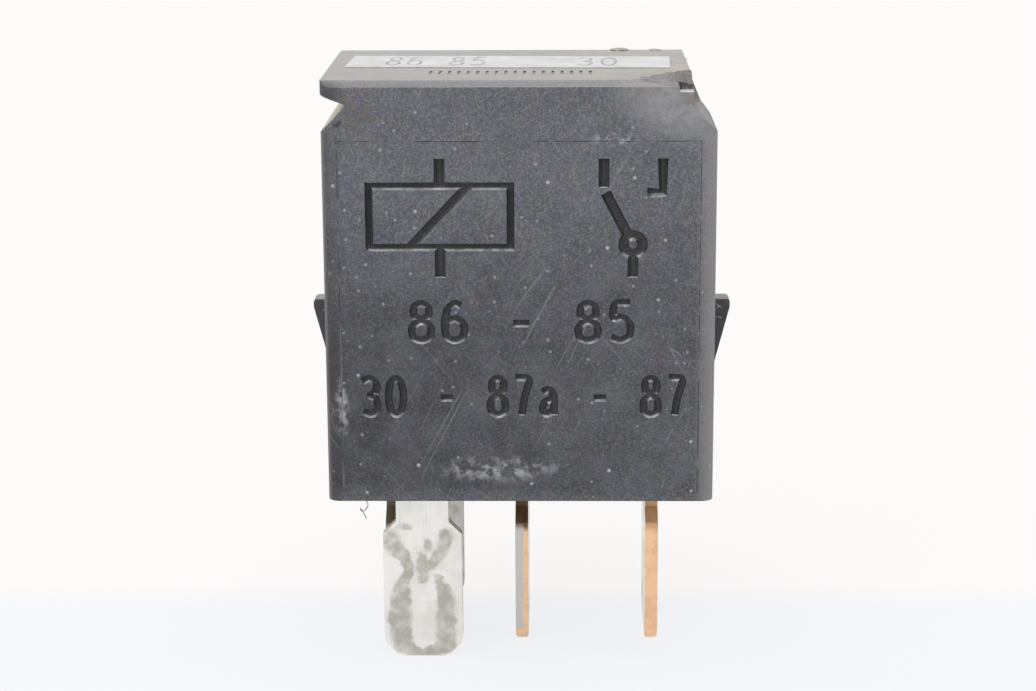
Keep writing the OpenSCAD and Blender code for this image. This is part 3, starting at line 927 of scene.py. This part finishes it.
def join(name, meshes):
    """Joins meshes into one object."""
    work = bmesh.new()
    for mesh in meshes:
        work.from_mesh(mesh)
    joined = bpy.data.meshes.new(name)
    work.to_mesh(joined)
    work.free()
    return link(name, joined)


finish_piece(copy_of("top_label", 0.02, 1), "top_label", label_film())
INK_ROWS = number_strokes("86 85", -4.4, -1.9, 0.85, 1.65)
INK_ROWS += number_strokes("30", 5.3, -1.9, 0.95, 1.65)
# Where two strokes cross, one lies on the other, so no two tops share a plane
ink = [ink_strip(line, INK_T * (1 + 0.15 * k)) for k, line in enumerate(INK_ROWS)]
print_piece = join("label_print", ink)
print_piece.data.materials.append(print_ink())
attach(print_piece, BODY_OF["top_label"])
print("label", [round(v, 1) for v in label_high - label_low], "mm")

# %% [markdown]
# ## Blades of tinned copper
#
# The blades are punched from copper strip that was tinned on its flat sides first. So the
# flats are pale grey tin, and the punched edges show bare copper. Sockets have scraped
# the tin, which leaves duller grey bands where their springs pressed. Which colour shows
# is decided by the way a face looks: along the strip's thickness it is tin, and
# everywhere else it is copper.

# %% Stain left by the socket springs
# Each row is a dull patch on the front blade: middle and half size, with x from the
# blade's middle and z from its tip. Together they make two bowed bands that cross near
# the middle of the blade.
SPRING_MARKS = [
    (-1.88, 7.4, 0.6, 0.8), (-1.3, 6.75, 0.4, 0.5), (-1.0, 6.2, 0.36, 0.5),
    (-0.85, 5.7, 0.3, 0.4), (-1.05, 5.2, 0.36, 0.4), (-1.3, 4.5, 0.55, 0.6),
    (-1.4, 3.8, 0.6, 0.6), (-1.45, 3.0, 0.72, 0.8), (-1.45, 2.1, 0.7, 0.8),
    (-1.35, 1.2, 0.7, 0.7), (-0.9, 0.45, 0.7, 0.35), (0.1, 0.3, 0.9, 0.3),
    (1.1, 0.5, 0.8, 0.4), (1.4, 1.2, 0.65, 0.7), (1.35, 2.0, 0.62, 0.8),
    (1.45, 2.9, 0.6, 0.8), (1.35, 3.8, 0.52, 0.7), (1.1, 4.6, 0.4, 0.5),
    (0.9, 5.1, 0.25, 0.25), (0.05, 5.6, 0.45, 0.65), (0.0, 5.0, 0.3, 0.3),
    (-0.1, 6.45, 0.33, 0.35), (0.33, 7.2, 0.28, 0.4), (0.6, 5.95, 0.36, 0.3),
    (0.9, 6.4, 0.42, 0.45), (1.2, 7.0, 0.42, 0.5), (1.4, 7.8, 0.5, 0.55),
    (-1.1, 8.4, 0.5, 0.22),
]


def spring_marks(place, centre):
    """Mask of the dull patches: they add up, so that neighbours run together."""
    ragged = add("VectorMath", {0: tinted_grain(place, 0.4), 1: (0.5, 0.5, 0.5)},
                 operation="SUBTRACT").outputs[0]
    moved = add("VectorMath", {0: place, 1: stretched(ragged, (0.5, 0.5, 0.5))}).outputs[0]
    total = 0.0
    for x, z, half_x, half_z in SPRING_MARKS:
        total = calc("ADD", total, blot(moved, (centre.x + x, centre.y, z),
                                        (half_x * 1.5, 3, half_z * 1.5), 0.2, 1.0))
    return times(ramp(total, 0.25, 0.75), ramp(grain(place, 0.7, 5.0), 0.35, 0.6, 0.5, 1.0))


# %% Tinned copper
BLADE_T = 0.8
AXIS_NUMBER = {"X": 0, "Y": 1}


def tinned_copper(name, thin_axis, centre, edge, neck_edge, smear, painted_shade, marks=False):
    """Tin on the flats and copper on the edges; smear is how much of an edge tin covers."""
    material, place = new_material(name)
    look = calc("ABSOLUTE", along(add("TexCoord").outputs["Normal"], thin_axis))
    flat = ramp(look, 0.35, 0.75)
    height = along(place, "Z")
    # Tin, dulled in patches
    tin = mix(ramp(grain(place, 1.6, 4.0), 0.4, 0.6), "f6f3ed", "ebe8e0")
    worn = (spring_marks(place, centre) if marks
            else ramp(grain(place, 1.5, 5.0), 0.50, 0.66, 0.0, 0.75))
    tin = mix(times(worn, 0.92), tin, "bbb8ac")
    drag = grain(stretched(place, (1.0, 1.0, 0.06)), 0.16, 3.0)
    tin = mix(ramp(drag, 0.55, 0.75, 0.0, 0.18), tin, "a8a59b")
    # Copper edges take another colour at the neck under the case's rim: tarnish where no socket
    # rubs them, with painted shade on most blades and painted light on terminal_85
    neck = ramp(height, rim - 3.4, rim - 3.0)
    copper = mix(neck, edge, neck_edge)
    copper = mix(ramp(grain(place, 0.7, 4.0), 0.45, 0.65, 0.0, 0.25), copper, "a98058")
    if smear > 0:
        wavy = calc("SUBTRACT", grain(place, 1.5, 3.0), 0.5)
        across = calc("MULTIPLY_ADD", wavy, 0.35, along(place, thin_axis))
        limit = centre[AXIS_NUMBER[thin_axis]] + (smear - 0.5) * BLADE_T
        tinned = times(ramp(across, limit - 0.03, limit + 0.03, 1.0, 0.0),
                       ramp(height, rim - 3.2, rim - 2.8, 1.0, 0.0), ramp(height, 0.9, 1.1))
        copper = mix(tinned, copper, "c9c6bf")
    # Painted shade: blades far back under the case are darkened all over towards a grey brown
    colour = mix(painted_shade, mix(flat, copper, tin), "77736a")
    # The neck's edges carry a dull oxide film, so they mirror little
    oxide = times(neck, calc("SUBTRACT", 1.0, flat))
    rough = ramp(times(worn, flat), 0.0, 1.0, 0.32, 0.55)
    dents = bump(grain(place, 0.9, 3.0), 0.03, 0.4, bump(drag, 0.01, 0.5))
    surface(colour, larger(rough, times(oxide, 0.7)), Normal=dents,
            Metallic=ramp(oxide, 0.0, 1.0, 1.0, 0.15))
    return material


# %% The five blades
COINED, TIP_SHARE = 0.5, 0.45             # the tips are coined to slip into a socket


def slice_at(mesh, levels):
    """Adds loops of edges at these heights."""
    with editing(mesh) as work:
        for level in levels:
            bmesh.ops.bisect_plane(work, geom=work.verts[:] + work.edges[:] + work.faces[:],
                                   plane_co=(0, 0, level * MM), plane_no=(0, 0, 1),
                                   dist=1e-7)


def round_corners(mesh, axis, radius):
    """Rounds the corners of the blade's outline near its tip."""
    with editing(mesh) as work:
        corners = []
        for edge in work.edges:
            a, b = (v.co for v in edge.verts)
            if abs(a[axis] - b[axis]) > 0.99 * (a - b).length and max(a.z, b.z) < 3 * MM:
                corners.append(edge)
        bmesh.ops.bevel(work, geom=corners, offset=radius * MM, segments=3, profile=0.5,
                        affect="EDGES", clamp_overlap=True)


def coin_tip(mesh, axis, middle):
    """Narrows the flats towards the tip, in a curve that ends about half as thick."""
    slice_at(mesh, (0.08, 0.2, 0.4))
    with editing(mesh) as work:
        for vertex in work.verts:
            rise = min(1.0, max(0.0, vertex.co.z / (COINED * MM)))
            narrow = TIP_SHARE + (1 - TIP_SHARE) * math.sqrt(rise * (2 - rise))
            vertex.co[axis] = middle + (vertex.co[axis] - middle) * narrow


# Each row: node, x of its middle, thin axis, colours of the edge and of its neck, smear
# and painted shade, which darkens the blades far back under the case
for node, x, thin_axis, edge, neck_edge, smear, painted_shade in (
        ("terminal_85", -6.0, "Y", "d3c4b4", "efe5d8", 0.6, 0.0),
        ("terminal_86", -6.3, "Y", "c9a283", "84785c", 0.4, 0.4),
        ("terminal_30", -8.0, "X", "c2a888", "7c7657", 0.5, 0.1),
        ("terminal_87a", 0.0, "X", "f2c8a2", "654a2a", 0.6, 0.0),
        ("terminal_87", 8.0, "X", "fbcba2", "f2ba8a", 0.0, 0.0)):
    low, high = box_mm(node)
    centre = Vector((x, (low.y + high.y) / 2 if thin_axis == "Y" else 0.0, 0.0))
    axis = AXIS_NUMBER[thin_axis]
    blade = copy_of(node, 0.0)
    round_corners(blade.data, axis, 0.35)
    coin_tip(blade.data, axis, centre[axis] * MM)
    soften(blade, 0.06)
    finish_piece(blade, node, tinned_copper("tinned_copper_" + node[9:], thin_axis, centre,
                                            edge, neck_edge, smear, painted_shade,
                                            marks=node == "terminal_85"))

# %% [markdown]
# ## Base
#
# The base is a second moulding of the same family of plastic, without the dust because it
# sits up inside the case. It has a coarser grain, and a film of sealing resin in soft patches.


# %% Base plastic
def base_plastic():
    """Glass-filled PBT of the base: black, coarse grain."""
    material, place = new_material("pbt_base_moulded_black")
    fine = grain(place, 0.35, 3.0)
    resin = ramp(grain(place, 2.2, 3.0), 0.5, 0.6, 0.0, 0.5)
    colour = mix(resin, mix(ramp(fine, 0.4, 0.7), "3f3f43", "58585d"), "4b4844")
    surface(colour, ramp(resin, 0.0, 0.5, 0.55, 0.30), IOR=1.55,
            Normal=bump(fine, 0.04, 0.6))
    return material


finish_piece(copy_of("base", 0.12), "base", base_plastic())

# %% [markdown]
# ## Coil: bobbin and winding
#
# The bobbin is natural nylon. The winding is enamelled copper wire laid in close turns, so
# its outside is a row of small round ridges. The real wire is about 0.1 mm thick. It is
# drawn 0.28 mm thick here, because finer ridges are too small to see.


# %% Nylon and enamelled wire
def natural_nylon():
    """Glass-filled nylon in its natural cream colour, a little translucent."""
    material, place = new_material("nylon_natural")
    fine = grain(place, 0.5, 3.0)
    surface(mix(ramp(fine, 0.35, 0.65), "cfc6aa", "ddd6be"), 0.45, IOR=1.53,
            Subsurface_Weight=0.1, Subsurface_Radius=(0.0006, 0.0005, 0.0004),
            Normal=bump(fine, 0.02, 0.5))
    return material


def enamelled_wire():
    """Copper wire under clear polyurethane enamel: a red-brown metal with a gloss coat."""
    material, place = new_material("copper_wire_enamelled")
    tone = grain(place, 1.4, 3.0)
    surface(mix(ramp(tone, 0.35, 0.65), "b4602f", "c97a45"), 0.35, Metallic=1.0,
            Coat_Weight=0.6, Coat_Roughness=0.12, Normal=bump(tone, 0.02, 0.3))
    return material


# %% Turned shapes
def turned(name, profile, placement, segments=48):
    """A mesh turned from (radius, height) points round Z, and closed, then placed."""
    work = bmesh.new()
    angles = [2 * math.pi * k / segments for k in range(segments)]
    closed = profile[0] == profile[-1]
    rings = [[work.verts.new((r * math.cos(t), r * math.sin(t), h)) for t in angles]
             for r, h in (profile[:-1] if closed else profile)]
    if closed:
        rings.append(rings[0])
    for low_ring, high_ring in zip(rings, rings[1:]):
        for k in range(segments):
            n = (k + 1) % segments
            work.faces.new((low_ring[k], low_ring[n], high_ring[n], high_ring[k]))
    if not closed:
        work.faces.new(rings[0][::-1])
        work.faces.new(rings[-1])
    mesh = built(name, work, placement)
    smooth_by_angle(mesh, 40.0)
    return mesh


# %% Winding and its tails
TURN_D, TAIL_R = 0.28, 0.11
wind_low, wind_high = box_mm("coil_winding")
core_low, core_high = box_mm("core")
core_x = (core_low.x + core_high.x) / 2
wind_r = wind_high.x - core_x
hub_r = 2.9                               # the bobbin's hub, and a hair of room
post_x, post_y = wind_low.x + 0.7, wind_high.y - 0.6  # the coil blades' wire posts


def winding_profile():
    """Closed outline of the winding: a row of round ridges outside, plain inside."""
    height = wind_high.z - wind_low.z
    turns = int(height / TURN_D)
    pitch = height / turns
    outline = [(hub_r, 0.0)]
    for k in range(turns):
        for step in (0.15, 0.35, 0.5, 0.65, 0.85):
            bulge = math.sin(math.pi * step)
            outline.append((wind_r - pitch / 2 * (1 - bulge), (k + step) * pitch))
    return outline + [(hub_r, height), (hub_r, 0.0)]


def tail(end):
    """A tail of wire from the winding to three turns round its post; end is -1 or 1."""
    level = wind_low.z + 0.65
    points = [(core_x - 1.2, end * (wind_r - 0.35), level),
              (core_x - 2.4, end * (wind_r - 0.10), level),
              (post_x + 1.1, end * (post_y - 0.45), level)]
    for k in range(13):
        t = math.pi * (0.25 - 0.5 * k)
        points.append((post_x + 0.682 * math.cos(t), end * (post_y - 0.588 * math.sin(t)),
                       level - 0.25 + 0.04 * k))
    return wire_mesh("tail", points, TAIL_R)


wound = turned("winding", winding_profile(), shift(core_x, 0, wind_low.z), 64)
winding_piece = join("coil_winding_detail", [wound, tail(-1), tail(1)])
smooth_by_angle(winding_piece.data, 60.0)
finish_piece(winding_piece, "coil_winding", enamelled_wire())
finish_piece(copy_of("bobbin", 0.15), "bobbin", natural_nylon())

# %% [markdown]
# ## Iron parts, rivets and spring
#
# Core, yoke and armature are soft iron with a thin nickel plating. The parts are punched
# or turned, so their edges are slightly rounded and their faces carry a fine drawn grain.
# The spring is rolled copper alloy. It is fixed to the armature above the hinge and to
# the yoke below it. Its mesh gets loops of edges below the hinge, and rides on no body.


# %% Metals
def drawn_metal(name, light, dark, roughness, size=0.12, stretch=(1.0, 1.0, 0.08)):
    """A metal with a fine grain drawn along one direction and a few dull spots."""
    material, place = new_material(name)
    lines = grain(stretched(place, stretch), size, 3.0)
    spots = ramp(grain(place, 1.8, 4.0), 0.58, 0.66, 0.0, 0.35)
    colour = mix(spots, mix(ramp(lines, 0.35, 0.65), light, dark), "7d7972")
    surface(colour, ramp(lines, 0.3, 0.7, roughness - 0.05, roughness + 0.08),
            Metallic=1.0, Normal=bump(lines, 0.005, 0.5))
    return material


NICKEL_IRON = drawn_metal("nickel_plated_iron", "c3c3c0", "a9a9a6", 0.30)
RIVET_STEEL = drawn_metal("zinc_plated_rivet_steel", "c9cbce", "b2b4b7", 0.35)
SPRING_ALLOY = drawn_metal("rolled_copper_alloy", "d79d6b", "c58957", 0.28,
                           stretch=(0.08, 1.0, 1.0))
SILVER = drawn_metal("silver_contact_alloy", "e2e0db", "c9c6bf", 0.22, 0.3, (1, 1, 1))
TINNED_WIRE = drawn_metal("tinned_copper_wire", "cfcfca", "b9b8b2", 0.32)
for metal, bevel, segments, *nodes in (
        (NICKEL_IRON, 0.15, 2, "core", "yoke"), (NICKEL_IRON, 0.12, 2, "armature"),
        (RIVET_STEEL, 0.16, 3, "armature_rivet_front", "armature_rivet_rear"),
        (SILVER, 0.18, 3, "moving_contact", "fixed_contact_open", "fixed_contact_closed"),
        (TINNED_WIRE, 0.04, 1, "resistor_lead_85", "resistor_lead_86")):
    for node in nodes:
        finish_piece(copy_of(node, bevel, segments), node, metal)

# %% Leaf spring
hinge = Vector(frame["record"]["behaviour"]["joints"][0]["pos_m"])
spring_piece = copy_of("contact_spring", 0.0)
slice_at(spring_piece.data, [hinge.z / MM - k * 0.4 for k in range(1, 14)])
soften(spring_piece, 0.05)
finish_piece(spring_piece, "contact_spring", SPRING_ALLOY, ride=False)
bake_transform(spring_piece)

# %% [markdown]
# ## Suppression resistor
#
# A film resistor is a ceramic rod with a pressed cap at each end, dipped in lacquer, so
# it is thicker at its ends. Its colour bands are painted rings, made here by comparing
# the place along its length with the place of each ring.

# %% Resistor
BANDS = (("8a5a2b", -0.30), ("8f8f8f", -0.12), ("8a5a2b", 0.06), ("b8963e", 0.30))
BAND_W = 0.09                             # of the body's length
res_low, res_high = box_mm("suppression_resistor")
res_middle = (res_low + res_high) / 2
res_length = res_high.y - res_low.y
res_r = (res_high.x - res_low.x) / 2


def resistor_lacquer():
    """Blue lacquer over ceramic, with four painted rings."""
    material, place = new_material("resistor_lacquer_blue")
    colour = "6f9db8"
    half = BAND_W * res_length / 2
    for tint, spot in BANDS:
        offset = calc("SUBTRACT", along(place, "Y"), res_middle.y + spot * res_length)
        ring = ramp(calc("ABSOLUTE", offset), half, half * 1.15, 1.0, 0.0)
        colour = mix(ring, colour, tint)
    surface(colour, 0.28, Coat_Weight=0.5, Normal=bump(grain(place, 0.6, 2.0), 0.02, 0.4))
    return material


def resistor_profile():
    """Half outline of the body: rounded caps and a slimmer waist."""
    half, waist = res_length / 2, 0.86
    outline = []
    for k in range(9):
        t = math.pi / 2 * k / 8
        outline.append((res_r * (0.45 + 0.55 * math.sin(t)), 0.5 * (1 - math.cos(t)) - half))
    outline += [(res_r, 1.2 - half), (res_r * 0.95, 1.6 - half), (res_r * waist, 2.1 - half)]
    return outline + [(r, -h) for r, h in reversed(outline)]


resistor_piece = link("suppression_resistor_detail",
                      turned("resistor", resistor_profile(), shift(*res_middle)
                             @ turn(90, "X")))
finish_piece(resistor_piece, "suppression_resistor", resistor_lacquer())

# %% [markdown]
# ## Lint and burrs
#
# Two bits of dirt give a used part away at once: a hair caught under the rim, and the
# pale burrs that a socket scraped off the latch ramp. Both are thin curved wires.


# %% Lint and burrs
def fibre(name, tint):
    """A textile or plastic fibre: matt, with a slight change of tone along it."""
    material, place = new_material(name)
    surface(mix(ramp(grain(place, 0.6, 2.0), 0.4, 0.6), tint, "8c8a86"), 0.7)
    return material


def strands(name, corner, runs, radius, tint):
    """Thin fibres along runs of points, counted from a corner of the case at its rim."""
    x, y = corner
    piece = join(name, [wire_mesh(name, [(x + a, y + b, rim + c) for a, b, c in run], radius)
                        for run in runs])
    piece.data.materials.append(fibre("fibre_" + name, tint))
    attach(piece, BODY_OF["cover"])
    print(name, len(runs), "fibres")
    return piece


strands("lint", (0.0, front), [[(-9.2, -0.02, 0.9), (-9.3, -0.04, 0.2), (-9.0, 0.1, -0.3),
                                (-9.5, 0.15, -0.8), (-9.6, 0.15, -0.3),
                                (-9.2, 0.1, -1.1)]], 0.028, "6f6d6c")
strands("burrs", (side, 0.0), [
    [(0.30, -0.74, 10.62), (0.50, -0.95, 10.45), (0.72, -0.98, 10.32)],
    [(0.30, -0.74, 9.70), (0.55, -0.95, 9.74), (0.78, -0.98, 9.66)],
    [(0.30, -0.74, 10.00), (0.48, -0.92, 10.20), (0.58, -0.96, 10.42)]], 0.035, "f0eeea")
